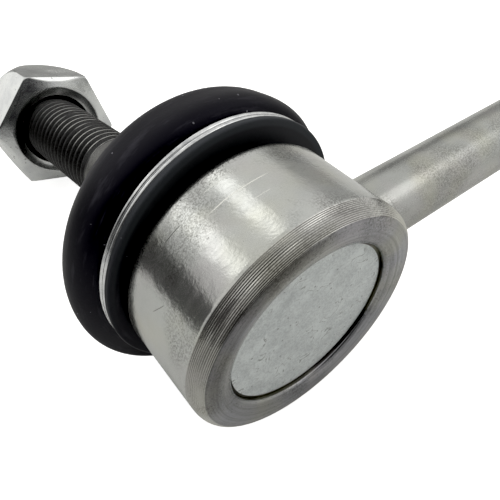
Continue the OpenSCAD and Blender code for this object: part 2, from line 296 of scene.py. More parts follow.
for name, (ux, uy), away, wide, high, tone in studio["flags"]:
    cx, cy = studio["flagsRound"] + ux * away, uy * away
    wx, wy = -uy * wide / 2, ux * wide / 2
    cloth, fibres = startMaterial("greyFlock")[:2]
    addNode(fibres, "OutputMaterial", {"Surface": addNode(fibres, "BsdfDiffuse", {"Color": toLinear(tone)})})
    ends = ((-1, 0), (1, 0), (1, high), (-1, high))
    flag = addSheet(name, [(cx + sign * wx, cy + sign * wy, z) for sign, z in ends], cloth)
    flag.visible_camera = flag.visible_diffuse = flag.visible_shadow = False  # only mirrored in the metal
view = scene.view_settings
view.view_transform = "Standard"
view.use_curve_mapping = True  # deep blacks, as the photograph was developed
view.curve_mapping.black_level = (studio["blackLevel"],) * 3
view.curve_mapping.update()
print("camera and studio set")


# Zinc-plated steel, drawn and barrel plated: a soft grey mirror with a sparkle, handling pits and hairline scratches.
# tones: low, high and in the pits; wavy: depth in metres of the unevenness that breaks up the mirrored bands
# marks: hairlines on the piece's own UV in mm, as centre, turn in radians, half length, half width, share and tone
def zincSteel(name, tones, polished, pitEdgeAt, streaks, wavy, marks=(), cut=False, shadeAndGrime=False, scoring=0.0):
    material, tree, spot, wrap = startMaterial(name)
    clouds, grain, patches, pits, salt, waves = (
        addNode(tree, "TexNoise", {"Vector": spot, "Scale": mmPerMetre / size, "Detail": detail, "Roughness": fade})
        for size, detail, fade in ((5.5, 3.0, 0.55), (0.26, 2.0, 0.6), (6, 2.0, 0.5),
                                   (0.24, 1.5, 0.5), (0.17, 1.0, 0.5), (1.5, 2.0, 0.55)))
    colour = addNode(tree, "ValToRGB", {"Fac": clouds}, ((0.36, tones[0]), (0.66, tones[1])))
    # pits, thicker where the plating was handled, on plating that is straw in places and rosy in others
    pitEdge = addNode(tree, "MapRange", {
        "Value": patches, "From Min": 0.38, "From Max": 0.66, "To Min": pitEdgeAt + 0.14, "To Max": pitEdgeAt})
    pitDeep = addNode(tree, "Math", {0: pits, 1: pitEdge}, operation="SUBTRACT")
    pitMask = addNode(tree, "MapRange", {"Value": pitDeep, "From Max": 0.1, "To Max": 0.45}, **smooth)
    hues = addNode(tree, "SeparateXYZ", {0: patches.outputs["Color"]}).outputs
    straw = addNode(tree, "MapRange", {"Value": hues["Y"], "From Min": 0.48, "From Max": 0.7, "To Max": 0.3})
    rosy = addNode(tree, "MapRange", {"Value": hues["Z"], "From Min": 0.5, "From Max": 0.7, "To Max": 0.25})
    for share, tone in ((straw, "#cbc9ae"), (rosy, "#c4bcbf"), (pitMask, tones[2])):
        colour = addNode(tree, "Mix", {"Factor": share, 6: colour, 7: toLinear(tone)}, **tinted)
    # fine dark and light speckle, stronger in some patches
    saltShare = addNode(tree, "MapRange", {
        "Value": hues["X"], "From Min": 0.46, "From Max": 0.62, "To Min": 0.04, "To Max": 0.55})
    saltTone = addNode(tree, "ValToRGB", {"Fac": salt}, ((0.38, "#9d9c99"), (0.62, "#ffffff")))
    colour = addNode(tree, "Mix", {"Factor": saltShare, 6: colour, 7: saltTone}, blend_type="MULTIPLY", **tinted)
    # turning hairlines round the piece
    stretched = addNode(tree, "Mapping", {"Vector": wrap, "Scale": streaks, "Rotation": (0, 0, 0.05)})
    hair = addNode(tree, "TexNoise", {"Vector": stretched, "Scale": 1.0, "Detail": 3.0, "Roughness": 0.7})
    polish = addNode(tree, "Math", {0: grain, 1: 0.6, 2: hair}, operation="MULTIPLY_ADD")
    rough = addNode(tree, "MapRange", {
        "Value": polish, "From Min": 0.55, "From Max": 1.05, "To Min": polished[0], "To Max": polished[1]})
    for (u, v), turn, half, width, share, tone in marks:
        wobble = addNode(tree, "VectorMath", {0: clouds.outputs["Color"], 1: (0.0, 0.5, 0.0), 2: wrap},
                         operation="MULTIPLY_ADD")
        centred = addNode(tree, "VectorMath", {0: wobble, 1: (u, v + 0.25, 0)}, operation="SUBTRACT")
        turned = addNode(tree, "VectorRotate", {"Vector": centred, "Angle": -turn}, rotation_type="Z_AXIS")
        away = addNode(tree, "VectorMath", {0: turned}, operation="ABSOLUTE")
        axes = addNode(tree, "SeparateXYZ", {0: away}).outputs
        along, across = (
            addNode(tree, "MapRange", {"Value": axes[i], "From Min": size, "From Max": size * full}, **smooth)
            for i, size, full in ((0, half, 0.6), (1, width, 0.3)))
        line = addNode(tree, "Math", {0: along, 1: across}, operation="MULTIPLY")
        shown = addNode(tree, "Math", {0: line, 1: share}, operation="MULTIPLY")
        colour = addNode(tree, "Mix", {"Factor": shown, 6: colour, 7: toLinear(tone)}, **tinted)
        rough = addNode(tree, "Mix", {"Factor": shown, 2: rough, 3: 0.5})
    if cut:  # painted shade in the turned grooves, dark scoring from the roller, painted shade on the outer lip with the ridges also worn dull at one corner, and a painted highlight on the rim of the opening
        groove, rolled = (
            addNode(tree, "Attribute", attribute_name=note).outputs["Fac"] for note in ("groove", "rolled"))
        # painted shade in the grooves, its share set by the side the housing faces
        grooveShade = addNode(tree, "MapRange", {
            "Value": groove, "From Min": 0.35, "From Max": 0.95, "To Max": 0.65}, **smooth)
        scored = addNode(tree, "MapRange", {
            "Value": hair, "From Min": 0.36, "From Max": 0.56, "To Min": scoring, "To Max": 0.0})
        # darker from painted shade on the outer lip and from real wear on the ridges; lighter from a painted highlight
        # on the rim of the opening
        outerLipShadeAndWear = addNode(tree, "MapRange", {"Value": rolled, "To Max": 0.42})
        openingHighlight = addNode(tree, "MapRange", {"Value": rolled, "From Max": -1.0, "To Max": 0.5})
        for share, tone in ((grooveShade, "#3f3d39"), (scored, "#4a4742"), (outerLipShadeAndWear, "#37322c"), (openingHighlight, "#dcdcda")):
            colour = addNode(tree, "Mix", {"Factor": share, 6: colour, 7: toLinear(tone)}, **tinted)
    if shadeAndGrime:  # painted shade and dark handling dirt on the shoulder under the boot, ragged towards the wall
        down = addNode(tree, "SeparateXYZ", {0: wrap}).outputs["Y"]
        ragged = addNode(tree, "Math", {0: pits, 1: -1.6, 2: down}, operation="MULTIPLY_ADD")
        shadeAndDirt = addNode(tree, "MapRange", {
            "Value": ragged, "From Min": -0.7, "From Max": -1.8, "To Max": 0.85}, **smooth)
        colour = addNode(tree, "Mix", {"Factor": shadeAndDirt, 6: colour, 7: toLinear("#3a3a39")}, **tinted)
        rough = addNode(tree, "Mix", {"Factor": shadeAndDirt, 2: rough, 3: 0.5})
    relief = addNode(tree, "Math", {0: hair, 1: 0.3, 2: grain}, operation="MULTIPLY_ADD")
    dents = addNode(tree, "Math", {0: relief, 1: pitMask}, operation="SUBTRACT")
    uneven = addNode(tree, "Bump", {"Height": waves, "Strength": 1.0, "Distance": wavy})
    bump = addNode(tree, "Bump", {"Height": dents, "Strength": 0.22, "Distance": 0.00004, "Normal": uneven})
    endMaterial(tree, {"Base Color": colour, "Metallic": 1.0, "Roughness": rough, "Normal": bump})
    return material


wallMarks = [
    ((39.6, 3.15), -0.02, 3.6, 0.07, 0.95, "#fbfaf4"),
    ((38.6, 1.05), 0.05, 1.5, 0.05, 0.6, "#f6f5ef"),
    ((40.8, 4.9), -0.03, 1.0, 0.05, 0.5, "#f6f5ef"),
    ((32.95, 1.58), 0.08, 1.3, 0.06, 0.8, "#3f3e3b"),
    ((27.0, 4.2), 0.6, 1.1, 0.05, 0.6, "#4d4b47"),
]
wallLines, rodLines, edgeLines = (0.06, 1.6, 1.0), (1.4, 0.05, 1.0), (0.03, 3.2, 1.0)
zincWall = zincSteel("zincPlatedSteel", ("#c0c2c0", "#cccecb", "#747370"), (0.13, 0.24), 0.6, wallLines, 0.000026,
                     wallMarks, shadeAndGrime=True)
zincRod = zincSteel("zincPlatedDrawnRod", ("#b0b2af", "#bcbebb", "#84837f"), (0.18, 0.30), 0.62, rodLines, 0.00002)
zincRidge = zincSteel("turnedZincRidges", ("#d4d4d1", "#dededb", "#6a6865"), (0.12, 0.19), 0.66, edgeLines, 0.00001,
                      cut=True)
zincLip = zincSteel("rolledZincEdge", ("#9fa0a5", "#b1b2b7", "#58585a"), (0.18, 0.28), 0.5, edgeLines, 0.00006,
                    cut=True, scoring=0.4)
# Painted shade: near-black zinc for the crevice between the lip's inner wall and the cover's edge
creviceShadeZinc = zincSteel("paintedCreviceShade", ("#1d1c1b", "#282725", "#121211"), (0.35, 0.5), 0.6, edgeLines, 0.00002)
print("zinc made")


# Pressed zinc cover: matt, sandy plating with scuffs and specks
def pressedCover():
    material, tree, spot = startMaterial("pressedZincCover")[:3]
    sand, clouds = (
        addNode(tree, "TexNoise", {"Vector": spot, "Scale": mmPerMetre / size, "Detail": detail, "Roughness": fade})
        for size, detail, fade in ((0.22, 1.0, 0.5), (2.5, 4.0, 0.6)))
    mixed = addNode(tree, "Math", {0: sand, 1: 0.7, 2: clouds}, operation="MULTIPLY_ADD")
    colour = addNode(tree, "ValToRGB", {"Fac": mixed}, ((0.6, "#cdd2d3"), (1.0, "#eff4f4")))
    # scuffs: thin winding lines where the noise crosses its middle, kept to a few patches
    winding = addNode(tree, "TexNoise", {"Vector": spot, "Scale": mmPerMetre / 1.6, "Detail": 1.0, "Distortion": 0.8})
    across = addNode(tree, "Math", {0: winding, 1: 0.5, 2: 0.016}, operation="COMPARE")
    few = addNode(tree, "MapRange", {"Value": clouds, "From Min": 0.5, "From Max": 0.6, "To Max": 0.6})
    scuff = addNode(tree, "Math", {0: across, 1: few}, operation="MULTIPLY")
    specks = addNode(tree, "TexVoronoi", {"Vector": spot, "Scale": mmPerMetre / 1.3}).outputs["Distance"]
    isSpeck = addNode(tree, "Math", {0: specks, 1: 0.09}, operation="LESS_THAN")
    speckSoft = addNode(tree, "Math", {0: isSpeck, 1: 0.55}, operation="MULTIPLY")
    for share, tone in ((scuff, "#7e807f"), (speckSoft, "#77787a")):
        colour = addNode(tree, "Mix", {"Factor": share, 6: colour, 7: toLinear(tone)}, **tinted)
    rough = addNode(tree, "MapRange", {"Value": sand, "To Min": 0.45, "To Max": 0.6})
    bump = addNode(tree, "Bump", {"Height": sand, "Strength": 0.3, "Distance": 0.00005})
    endMaterial(tree, {"Base Color": colour, "Metallic": 0.55, "Roughness": rough, "Normal": bump})
    return material


# Bright zinc on a forged nut: cool, glossy, with blotches and dark specks
def brightZinc():
    material, tree, spot = startMaterial("brightZincForging")[:3]
    clouds, specks = (
        addNode(tree, "TexNoise", {"Vector": spot, "Scale": mmPerMetre / size, "Detail": detail, "Roughness": fade})
        for size, detail, fade in ((4, 4.0, 0.6), (0.5, 2.0, 0.5)))
    colour = addNode(tree, "ValToRGB", {"Fac": clouds}, ((0.35, "#cfd1d2"), (0.65, "#e8eae9")))
    isSpeck = addNode(tree, "Math", {0: specks, 1: 0.7}, operation="GREATER_THAN")
    speckSoft = addNode(tree, "Math", {0: isSpeck, 1: 0.6}, operation="MULTIPLY")
    dome = addNode(tree, "Attribute", attribute_name="dome").outputs["Fac"]  # painted shade: the dome is painted a darker grey than the flats
    for share, tone in ((speckSoft, "#5a5b5c"), (dome, "#a8abab")):
        colour = addNode(tree, "Mix", {"Factor": share, 6: colour, 7: toLinear(tone)}, **tinted)
    rough = addNode(tree, "MapRange", {
        "Value": clouds, "From Min": 0.3, "From Max": 0.7, "To Min": 0.14, "To Max": 0.28})
    bump = addNode(tree, "Bump", {"Height": clouds, "Strength": 0.35, "Distance": 0.00015})
    endMaterial(tree, {"Base Color": colour, "Metallic": 1.0, "Roughness": rough, "Normal": bump})
    return material


# Phosphated steel: dark grey crystals, rubbed bright along the crests of the thread, the bright crest lines kept to one
# side as a painted highlight
def phosphatedSteel(name, low, high, wornAndLit):
    material, tree, spot = startMaterial(name)[:3]
    crystals, clouds = (
        addNode(tree, "TexNoise", {"Vector": spot, "Scale": mmPerMetre / size, "Detail": detail, "Roughness": fade})
        for size, detail, fade in ((0.2, 3.0, 0.6), (3, 2.0, 0.5)))
    colour = addNode(tree, "ValToRGB", {"Fac": crystals}, ((0.3, low), (0.75, high)))
    if wornAndLit:
        crest, crestWearAndHighlight = (addNode(tree, "Attribute", attribute_name=note).outputs["Fac"] for note in ("crest", "crestWearAndHighlight"))
        line = addNode(tree, "MapRange", {"Value": crest, "From Min": 0.88, "From Max": 0.96}, **smooth)
        rubbed = addNode(tree, "MapRange", {"Value": clouds, "From Min": 0.36, "From Max": 0.52, "To Max": crestWearAndHighlight})
        share = addNode(tree, "Math", {0: line, 1: rubbed}, operation="MULTIPLY")
        colour = addNode(tree, "Mix", {"Factor": share, 6: colour, 7: toLinear("#f0f0ec")}, **tinted)
    rough = addNode(tree, "MapRange", {"Value": clouds, "To Min": 0.34, "To Max": 0.5})
    bump = addNode(tree, "Bump", {"Height": crystals, "Strength": 0.25, "Distance": 0.00004})
    endMaterial(tree, {"Base Color": colour, "Metallic": 0.9, "Roughness": rough, "Normal": bump})
    return material


# Moulded chloroprene rubber: near black, matt, a faint cool bloom and light dust
def bootRubber():
    material, tree, spot, wrap = startMaterial("chloropreneRubber")
    bloom, skin = (
        addNode(tree, "TexNoise", {"Vector": spot, "Scale": mmPerMetre / size, "Detail": detail, "Roughness": fade})
        for size, detail, fade in ((7, 4.0, 0.6), (0.3, 2.0, 0.5)))
    colour = addNode(tree, "ValToRGB", {"Fac": bloom}, ((0.35, "#08080a"), (0.7, "#0f0e12")))
    # smears along the boot, and motes of dust
    drawn = addNode(tree, "Mapping", {"Vector": wrap, "Scale": (0.16, 1.1, 1.0)})
    smear = addNode(tree, "TexNoise", {"Vector": drawn, "Scale": 1.0, "Detail": 4.0, "Roughness": 0.65})
    smeared = addNode(tree, "MapRange", {"Value": smear, "From Min": 0.54, "From Max": 0.72, "To Max": 0.7})
    dust = addNode(tree, "TexVoronoi", {"Vector": wrap, "Scale": 0.45}, voronoi_dimensions="2D").outputs
    chosen = addNode(tree, "SeparateXYZ", {0: dust["Color"]}).outputs["X"]
    size = addNode(tree, "MapRange", {"Value": chosen, "From Min": 0.7, "From Max": 1.0, "To Max": 0.05})
    mote = addNode(tree, "Math", {0: dust["Distance"], 1: size}, operation="LESS_THAN")
    speck = addNode(tree, "Math", {0: mote, 1: 0.55}, operation="MULTIPLY")
    # painted light: foot and rim lightened grey, more so on the upper side, with a painted highlight along the rim
    around, along = addNode(tree, "SeparateXYZ", {0: wrap}).outputs[:2]
    litSide = addNode(tree, "MapRange", {"Value": around, "From Min": 24.0, "From Max": 44.0, "To Min": 0.05})
    footLightening = addNode(tree, "MapRange", {"Value": along, "From Min": 3.6, "From Max": 2.9, "To Max": litSide})
    fromRim = addNode(tree, "Math", {0: along, 1: 3.55}, operation="SUBTRACT")
    offRim = addNode(tree, "Math", {0: fromRim}, operation="ABSOLUTE")
    rimHighlight = addNode(tree, "MapRange", {"Value": offRim, "From Min": 0.95, "From Max": 0.6, "To Max": litSide}, **smooth)
    for share, tone in ((smeared, "#35343a"), (speck, "#9a9aa2"), (footLightening, "#303132"), (rimHighlight, "#3b3e40")):
        colour = addNode(tree, "Mix", {"Factor": share, 6: colour, 7: toLinear(tone)}, **tinted)
    rough = addNode(tree, "MapRange", {"Value": bloom, "To Min": 0.38, "To Max": 0.56})
    bump = addNode(tree, "Bump", {"Height": skin, "Strength": 0.2, "Distance": 0.00005})
    endMaterial(tree, {
        "Base Color": colour, "Roughness": rough, "IOR": 1.52, "Specular IOR Level": 0.26, "Normal": bump,
        "Specular Tint": toLinear("#dcdaf2"), "Sheen Weight": 0.02, "Sheen Roughness": 0.4,
        "Sheen Tint": toLinear("#a9a4c4")})
    return material


# Hard-drawn spring wire: bright, with fine die lines
def springWire():
    material, tree, spot = startMaterial("springSteelWire")[:3]
    lines = addNode(tree, "TexNoise", {"Vector": spot, "Scale": mmPerMetre / 1.4, "Detail": 4.0, "Roughness": 0.7})
    colour = addNode(tree, "ValToRGB", {"Fac": lines}, ((0.3, "#b4b6b9"), (0.7, "#f2f3f3")))
    rough = addNode(tree, "MapRange", {"Value": lines, "To Min": 0.12, "To Max": 0.26})
    endMaterial(tree, {"Base Color": colour, "Metallic": 1.0, "Roughness": rough})
    return material


# Moulded plastics of the hidden pieces: nylon ring and acetal seat, satin with a faint mottle
def mouldedPlastic(name, low, high, rough):
    material, tree, spot = startMaterial(name)[:3]
    mottle = addNode(tree, "TexNoise", {"Vector": spot, "Scale": mmPerMetre / 1.5, "Detail": 3.0})
    colour = addNode(tree, "ValToRGB", {"Fac": mottle}, ((0.0, low), (1.0, high)))
    bump = addNode(tree, "Bump", {"Height": mottle, "Strength": 0.1, "Distance": 0.00005})
    endMaterial(tree, {"Base Color": colour, "Roughness": rough, "IOR": 1.5, "Normal": bump})
    return material


zincCover = pressedCover()
zincNut = brightZinc()
darkThread = phosphatedSteel("phosphatedThread", "#303031", "#525252", True)
darkSteel = phosphatedSteel("phosphatedSteel", "#626261", "#868684", False)
rubber = bootRubber()
wire = springWire()
nylon = mouldedPlastic("nylon", "#cfd3dc", "#e4e6ea", 0.4)
acetal = mouldedPlastic("acetal", "#dcdad2", "#ebe9e2", 0.38)
print("materials made")

# Link rod, its ends saddled to the housings
rod = {"radius": 4.25, "housingRadius": 13.525, "steps": 96, "rows": 120, "wrapLength": 133, "wrapEnd": 5}
angles = np.radians(facings(rod["steps"]))
reach = linkEnd["halfLength"] - np.sqrt(rod["housingRadius"] ** 2 - (rod["radius"] * np.sin(angles)) ** 2)
rodGrid = np.empty((rod["steps"], rod["rows"] + 2, 3))
rodGrid[:, 1:-1, 0] = np.outer(reach, np.linspace(-1, 1, rod["rows"]))
rodGrid[:, 1:-1, 1] = (rod["radius"] * np.cos(angles))[:, None]
rodGrid[:, 1:-1, 2] = (linkEnd["restHeight"] - rod["radius"] * np.sin(angles))[:, None]
rodGrid[:, 0] = (-reach.min(), 0, linkEnd["restHeight"])
rodGrid[:, -1] = (reach.min(), 0, linkEnd["restHeight"])
around = np.linspace(0, 2 * math.pi * rod["radius"], rod["steps"] + 1)
along = rod["wrapEnd"] + np.linspace(0, rod["wrapLength"], rod["rows"])
along = np.concatenate(([0], along, [along[-1] + rod["wrapEnd"]]))
rodMesh = sweep("linkRod", rodGrid / mmPerMetre, False, (around, along))
linkRod = finishMesh("linkRod", rodMesh, "link", zincRod)
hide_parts("link_rod")
print("rod made")

# Housing: drawn cup, its edge rolled in over the cover with turned ridges on the corner
housing = {
    "radius": 13.5, "wallTop": 2.8, "wallBottom": -6.4, "wallRows": 24, "steps": 256,
    "rollWidth": 1.5, "rollHeight": 1.95, "rollFull": 2.5, "rollEnd": -66,
    "ridges": 11, "ridgeRows": 8, "ridgeDepth": 0.05, "ridgeCurve": 0.7, "ridgeEnd": -62,
    "openingRadius": 9.7, "lipDepth": 8.3, "lipCrown": 0.38, "lipBevel": 0.8, "lipThickness": 0.5,
    "crownStart": 12.5, "crownDrop": 0.107, "crownHalf": 1.1, "lightStart": 11.7, "lightWidth": 1.3,
    "lipEdge": ((0.55, 0.2), (0.32, 0.3), (0.12, 0.42), (0.03, 0.52), (0.0, 0.62)),
    "pocketRadius": 11.45, "pocketFloor": -6.1, "boreRadius": 9.7, "boreTop": 3.46,
    "mouthLow": 6.53, "mouthHigh": 8.29,
    "flangeRadius": 12.0, "flangeThickness": 0.7, "flangeEdge": 0.2, "top": 8.3,
    "neckRadius": 11.2, "neckRound": 0.25, "shoulder": 4.0, "shoulderRound": 0.9,
    "clear": (245, 0.45, 0.4), "lipShadingFacing": (222, 0.4, 0.5), "rubbed": (178, 0.5, 0.4), "leastGrooveShade": 0.25}


def rollAt(degrees, inset):  # on the rolled corner, fuller than an ellipse
    h = housing
    c, d = math.cos(math.radians(degrees)), math.sin(math.radians(degrees))
    k = (abs(c) ** h["rollFull"] + abs(d) ** h["rollFull"]) ** (-1 / h["rollFull"])
    return (h["radius"] - h["rollWidth"] + (h["rollWidth"] * k - inset) * c,
            h["rollHeight"] - h["lipDepth"] - h["lipCrown"] + (h["rollHeight"] * k - inset) * d)


def housingProfile():  # with each face's material, and the depth of groove and the share of painted lip shade and highlight at each point
    h = housing
    opening, low, lipBack = h["openingRadius"], -h["lipDepth"] - h["lipCrown"], h["lipThickness"] - h["lipDepth"]
    flange, flangeLow, neck = h["flangeRadius"], h["top"] - h["flangeThickness"], h["neckRound"]
    out = [(opening, lipBack), (h["pocketRadius"], lipBack), (h["pocketRadius"], h["pocketFloor"]),
           (h["boreRadius"], h["pocketFloor"]), (h["boreRadius"], h["boreTop"]), (h["mouthLow"], h["boreTop"]),
           (h["mouthHigh"], h["top"]), (flange - h["flangeEdge"], h["top"]), (flange, h["top"] - h["flangeEdge"]),
           (flange, flangeLow), (h["neckRadius"], flangeLow), (h["neckRadius"], h["shoulder"] + neck)]
    out += arc(h["neckRadius"] + neck, h["shoulder"] + neck, neck, neck, 200, 270, 4)
    bend = h["shoulderRound"]
    out += arc(h["radius"] - bend, h["shoulder"] - bend, bend, bend, 88, 0, 12)
    out += [(h["radius"], z) for z in np.linspace(h["wallTop"], h["wallBottom"], h["wallRows"])]
    ridgeStart = len(out)
    shares = np.linspace(0, 1, h["ridges"] * h["ridgeRows"] + 1)
    cuts = [(0.5 - 0.5 * math.cos(2 * math.pi * h["ridges"] * t)) ** h["ridgeCurve"] for t in shares]
    out += [rollAt(h["ridgeEnd"] * t, h["ridgeDepth"] * c) for t, c in zip(shares, cuts)]
    rollStart = len(out) - 1
    out.append(rollAt(h["rollEnd"], 0))
    crest = (h["radius"] + opening) / 2
    out += [(r, low + h["crownDrop"] * ((r - crest) / h["crownHalf"]) ** 2)
            for r in np.linspace(h["crownStart"], opening + h["lipBevel"], 16)]
    out += [(opening + outward, low + upward) for outward, upward in h["lipEdge"]]
    edgeStart = len(out) - 1
    # the last face, the lip's inner wall, takes the painted crevice shade
    zones = [0] * ridgeStart + [1] * (rollStart - ridgeStart) + [2] * (edgeStart - rollStart) + [3]
    rolled = [0.0] * ridgeStart + [smoothStep((t - 0.35) / 0.4) for t in shares]
    # painted shade on the outer crown of the lip, turning to a painted highlight towards the opening
    rolled += [1 - 2 * smoothStep((h["lightStart"] - r) / h["lightWidth"]) for r, z in out[rollStart + 1:]]
    return out, zones, [0.0] * ridgeStart + cuts + [0.0] * (len(out) - rollStart - 1), rolled


cover = {"radius": 11.4, "face": -7.75, "back": -6.15, "edge": 0.25, "rim": 10.2, "gap": 9.4, "rows": 24, "steps": 160}
coverProfile = [(0.0, cover["back"]), (cover["radius"], cover["back"])]
coverProfile += [(cover["radius"], cover["face"] + cover["edge"]), (cover["radius"] - cover["edge"], cover["face"])]
coverProfile.append((cover["rim"], cover["face"]))
coverProfile += [(r, cover["face"]) for r in np.linspace(cover["gap"], 0.0, cover["rows"])]


def facingShare(at, start, width):  # share of each step round the housing that looks towards a direction
    return smoothStep((np.cos(np.radians(facings(housing["steps"]) - at)) - start) / width)


for side in "ab":
    profile, zones, cuts, rolled = housingProfile()
    wallStart = profile.index((housing["radius"], housing["wallTop"]))
    mesh = turnedMesh(f"housing_{side}", profile, housing["steps"], side, zero=wallStart)
    for material in (zincWall, zincRidge, zincLip, creviceShadeZinc):
        mesh.materials.append(material)
    mesh.polygons.foreach_set("material_index", np.tile(zones, housing["steps"]))
    # painted shade in the grooves, strongest along the top; painted shade on the outer lip and a painted highlight on
    # the rim of the opening, on one side; and the ridges are rubbed dull at one corner
    clear = housing["leastGrooveShade"] + (1 - housing["leastGrooveShade"]) * facingShare(*housing["clear"])
    noteOn(mesh, "groove", np.outer(clear, cuts))
    ridged = np.array([zone == 1 for zone in zones]) * (1 - np.array(rolled))
    # the side where the lip takes its painted shade and highlight, and the corner where the ridges are worn
    lipShadingFacing, rubbed = facingShare(*housing["lipShadingFacing"]), facingShare(*housing["rubbed"])
    noteOn(mesh, "rolled", np.outer(lipShadingFacing, rolled) + np.outer(rubbed, ridged))
    cup = finishMesh(f"ballHousing_{side}", mesh, "link", zincWall, sharp=40)
    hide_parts(f"housing_{side}")
    mesh = turnedMesh(f"cover_{side}", coverProfile, cover["steps"], side, closedLoop=False)
    mesh.materials.append(zincCover)
    mesh.materials.append(creviceShadeZinc)
    # the cover's edge under the lip takes the painted crevice shade
    inShadedGap = [int(2 <= j <= 4) for j in range(len(coverProfile) - 1)]
    mesh.polygons.foreach_set("material_index", np.tile(inShadedGap, cover["steps"]))
    plate = finishMesh(f"closingCover_{side}", mesh, "link", zincCover)
    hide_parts(f"cover_{side}")
print("housings and covers made")

# Dust boot: rim under the ring, fat bulge, narrow neck on the stud; it follows the stud's tilt towards the neck
boot = {
    "bore": 11.55, "groove": 14.4, "rimBottom": 5.1, "rimHeight": 0.75, "rimOut": 0.7, "ringTop": 7.05,
    "rimIn": ((0.25, 0.0), (0.13, 0.02), (0.04, 0.08), (0.0, 0.2)),
    "rimBack": ((0.05, 0.12), (0.08, 0.04), (0.15, 0.0)),
    "bulgeOut": 2.5, "bulgeLow": 2.3, "bulgeHigh": 5.7, "wall": 1.4, "crown": 7.5, "neck": 6.2, "neckRound": 0.9,
    "edge": 0.3, "hole": 4.75, "holeFoot": 15.3, "room": 1.7, "top": 17.05, "flange": 12.0,
    "cavity": ((1.6, 0.9), (0.7, 0.4), (0.7, -0.2)), "follow": 0.75, "followFrom": 1.0, "followOver": 1.5,
    "bendFrom": 9.1, "bendTo": 15.0, "steps": 144}
bulgeAt, bulgeR = boot["ringTop"] + boot["bulgeLow"], boot["groove"] + boot["bulgeOut"]


def bootLoop():
    b = boot
    neckAt = bulgeAt + b["bulgeHigh"] + b["neckRound"]
    ringBottom = b["rimBottom"] + b["rimHeight"]
    rim = b["groove"] + b["rimOut"]
    out = [(b["bore"], b["rimBottom"])]
    out += [(rim - inward, b["rimBottom"] + upward) for inward, upward in b["rimIn"]]
    out += [(rim - inward, ringBottom - downward) for inward, downward in b["rimBack"]]
    out += [(b["groove"], ringBottom), (b["groove"], b["ringTop"])]
    out += arc(b["groove"], bulgeAt, b["bulgeOut"], b["bulgeLow"] - 0.05, -84, -4, 14)
    out += arc(b["crown"], bulgeAt, bulgeR - b["crown"], b["bulgeHigh"], 0, 84, 26)
    out += arc(b["neck"] + b["neckRound"], neckAt, b["neckRound"], b["neckRound"], 270, 180, 7)
    out += [(b["neck"], b["top"] - b["edge"]), (b["neck"] - b["edge"], b["top"]), (b["hole"], b["top"])]
    # widens inside, clear of the stud as it tilts
    out += [(b["hole"], b["holeFoot"]), (b["hole"] + b["room"], b["holeFoot"] - 1.0)]
    out += arc(b["crown"], bulgeAt, bulgeR - b["crown"] - b["wall"], b["bulgeHigh"] - b["wall"], 86, 0, 14)
    out += [(b["flange"] + outward, b["ringTop"] + upward) for outward, upward in b["cavity"]]
    return np.array(out + [(b["bore"], b["ringTop"] + b["cavity"][-1][1])])


def bootPoints(points, section):
    b = boot
    low = b["follow"] * smoothStep((section[:, 1] - b["ringTop"]) / b["bulgeLow"])
    high = smoothStep((bulgeR - b["followFrom"] - section[:, 0]) / (bulgeR - b["neck"] - b["followOver"]))
    high = np.where(section[:, 1] < bulgeAt, 0, high)
    w = np.tile(low + (1 - b["follow"]) * high, len(points) // len(section))[:, None]
    return (1 - w) * onSkirt(points) + w * onStud(points)


for side in "ab":
    section = bootLoop()
    mesh = turnedMesh(f"boot_{side}", section, boot["steps"], side, lambda p: bootPoints(p, section))
    bellows = finishMesh(f"dustBoot_{side}", mesh, None, rubber, sharp=50)
    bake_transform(bellows)
    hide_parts(f"dust_boot_{side}")
print("boots made")


def startTree(name, inputs):  # a geometry tree, its inputs named as in the piece's dictionary
    tree = bpy.data.node_groups.new(name, "GeometryNodeTree")
    for label, kind in {**inputs, "material": "Material"}.items():
        tree.interface.new_socket(label, in_out="INPUT", socket_type="NodeSocket" + kind)
    tree.interface.new_socket("Geometry", in_out="OUTPUT", socket_type="NodeSocketGeometry")
    return tree, addNode(tree, "NodeGroupInput").outputs


def endTree(tree, geometry, material):
    whole = addNode(tree, "GeometryNodeRealizeInstances", {"Geometry": geometry})
    painted = addNode(tree, "GeometryNodeSetMaterial", {"Geometry": whole, "Material": material})
    addNode(tree, "NodeGroupOutput", {0: painted})


def plainMesh(tree, sizes, material, name):  # runs a tree on an empty mesh and returns the result as a plain mesh
    holder = addObject(name + "Maker", bpy.data.meshes.new(name + "Maker"))
    maker = holder.modifiers.new("maker", "NODES")
    maker.node_group = tree
    for item in tree.interface.items_tree:
        if item.in_out == "INPUT":
            maker[item.identifier] = material if item.name == "material" else sizes[item.name]
    holder.update_tag()
    made = bpy.data.meshes.new_from_object(holder.evaluated_get(bpy.context.evaluated_depsgraph_get()))
    made.name = name
    holder.modifiers.remove(maker)
    bpy.data.objects.remove(holder)
    return made


def placed(mesh, place, lift, side):  # raised along the end's Z, then laid as place says
    points = np.empty(len(mesh.vertices) * 3)
    mesh.vertices.foreach_get("co", points)
    points = place(points.reshape(-1, 3) + np.array([0, 0, lift]))
    mesh.vertices.foreach_set("co", toRow(points, side).ravel())
    mesh.update()
    return mesh


